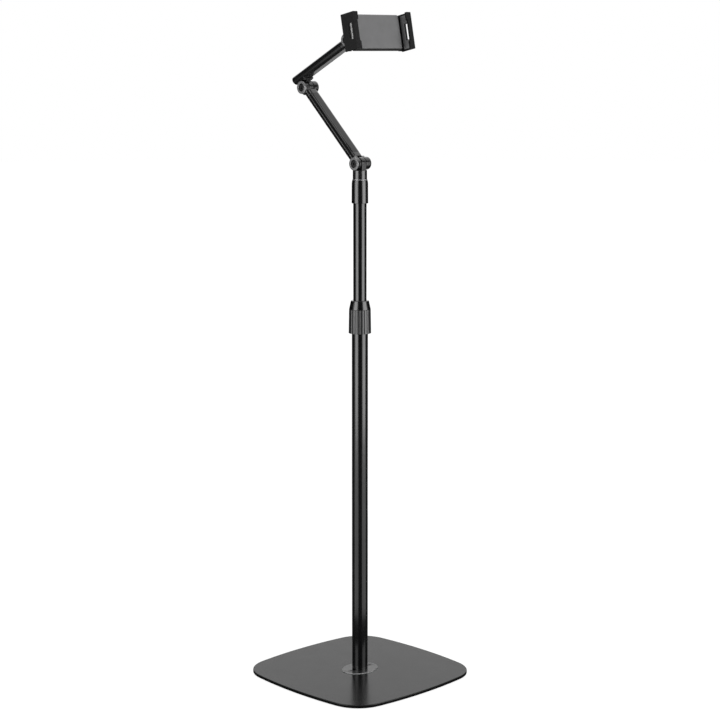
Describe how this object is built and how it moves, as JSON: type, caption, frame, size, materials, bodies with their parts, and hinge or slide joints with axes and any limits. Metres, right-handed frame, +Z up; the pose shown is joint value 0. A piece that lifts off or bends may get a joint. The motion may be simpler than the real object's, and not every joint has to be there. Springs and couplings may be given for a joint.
{
  "type": "adjustable tablet floor stand",
  "caption": "Floor stand for a tablet: weighted square base, telescoping pole with twist lock, folding arm and a sprung clamp holder on a ball head.",
  "frame": {"origin": "on the floor, on the pole's axis at the centre of the base", "axes": "+Z up the pole, -Y towards the user in front of the holder, X across the holder and along the arm pivots"},
  "size_m": [0.285, 0.2876, 1.039],
  "materials": {
    "black_powder_coat": "satin powder coat",
    "foam_pad": "matt foam",
    "zinc_steel": "zinc plated",
    "black_steel": "blackened steel",
    "black_trim": "satin black paint",
    "black_tube": "gloss black lacquer",
    "black_arm": "satin black anodised",
    "black_casting": "satin black paint on a casting",
    "bright_ring": "polished",
    "black_plastic": "fine matt texture",
    "gloss_black_plastic": "gloss",
    "grip_rubber": "fine matt rubber",
    "jaw_rubber": "matt rubber",
    "grey_silicone": "matt silicone",
    "grey_plastic": "fine matt texture",
    "white_nylon": "natural nylon"
  },
  "bodies": {
    "stand_base": {"base_pad": "foam_pad", "base_plate": "black_powder_coat", "base_bolt": "zinc_steel", "pole_plug": "zinc_steel", "pole_flange": "black_trim", "lower_pole": "black_tube", "lock_ferrule": "black_plastic", "lock_collet": "white_nylon"},
    "lock_collar": {"lock_nut": "gloss_black_plastic", "lock_grip": "grip_rubber"},
    "upper_pole": {"upper_pole": "black_tube", "upper_pole_bush": "white_nylon", "top_coupling": "gloss_black_plastic"},
    "neck": {"swivel_ring": "bright_ring", "swivel_neck": "black_casting", "swivel_bolt": "zinc_steel", "swivel_spring_washer": "zinc_steel"},
    "lower_arm": {"lower_arm_tube": "black_arm", "base_pivot_fork": "black_casting", "elbow_fork": "black_casting", "base_pivot_bolt": "black_steel", "base_pivot_nut": "zinc_steel", "base_pivot_washers": "black_plastic", "elbow_pivot_bolt": "black_steel", "elbow_pivot_nut": "zinc_steel", "elbow_pivot_washers": "black_plastic"},
    "upper_arm": {"upper_arm_tube": "black_arm", "upper_arm_cap": "black_plastic", "elbow_bracket": "black_casting", "bracket_rivets": "black_steel", "head_fork": "black_casting", "head_pivot_bolt": "black_steel", "head_pivot_nut": "zinc_steel", "head_pivot_washers": "black_plastic"},
    "head": {"head_knuckle": "black_casting"},
    "ball_seat": {"ball_seat": "white_nylon"},
    "holder": {"rear_housing": "black_plastic", "front_cover": "grey_plastic", "front_pad": "grey_silicone", "housing_screws": "black_steel", "left_jaw_spring": "zinc_steel", "right_jaw_spring": "zinc_steel"},
    "ring_nut": {"ball_ring_nut": "black_plastic"},
    "left_jaw": {"left_jaw": "black_plastic", "left_jaw_pad": "jaw_rubber"},
    "right_jaw": {"right_jaw": "black_plastic", "right_jaw_pad": "jaw_rubber"}
  },
  "joints": [
    {"name": "lock_twist", "type": "hinge", "parent": "stand_base", "child": "lock_collar", "pos_m": [0, 0, 0.575], "axis": [0, 0, 1], "range_deg": [0, 180]},
    {"name": "pole_slide", "type": "slide", "parent": "stand_base", "child": "upper_pole", "axis": [0, 0, 1], "range_m": [-0.148, 0.25]},
    {"name": "neck_swivel", "type": "hinge", "parent": "upper_pole", "child": "neck", "pos_m": [0, 0, 0.7873], "axis": [0, 0, 1], "continuous": true},
    {"name": "lower_arm_tilt", "type": "hinge", "parent": "neck", "child": "lower_arm", "pos_m": [0, 0, 0.811], "axis": [1, 0, 0], "range_deg": [-40, 130]},
    {"name": "elbow_fold", "type": "hinge", "parent": "lower_arm", "child": "upper_arm", "pos_m": [0, 0.11837, 0.92451], "axis": [-1, 0, 0], "range_deg": [-50, 105]},
    {"name": "head_tilt", "type": "hinge", "parent": "upper_arm", "child": "head", "pos_m": [0, 0.01767, 0.99737], "axis": [1, 0, 0], "range_deg": [-60, 75]},
    {"name": "ball_pan", "type": "hinge", "parent": "head", "child": "ball_seat", "pos_m": [0, -0.01173, 1.00335], "axis": [0, 0.1994, 0.9799], "range_deg": [-20, 20]},
    {"name": "holder_spin", "type": "hinge", "parent": "ball_seat", "child": "holder", "pos_m": [0, -0.01173, 1.00335], "axis": [0, -0.9799, 0.1994], "continuous": true},
    {"name": "ring_nut_twist", "type": "hinge", "parent": "holder", "child": "ring_nut", "pos_m": [0, -0.01173, 1.00335], "axis": [0, -0.9799, 0.1994], "range_deg": [0, 180]},
    {"name": "left_jaw_slide", "type": "slide", "parent": "holder", "child": "left_jaw", "axis": [-1, 0, 0], "range_m": [0, 0.042], "stiffness_N_per_m": 150, "springref_m": -0.02, "deforming": ["left_jaw_spring"]},
    {"name": "right_jaw_slide", "type": "slide", "parent": "holder", "child": "right_jaw", "axis": [1, 0, 0], "range_m": [0, 0.042], "stiffness_N_per_m": 150, "springref_m": -0.02, "deforming": ["right_jaw_spring"]}
  ]
}
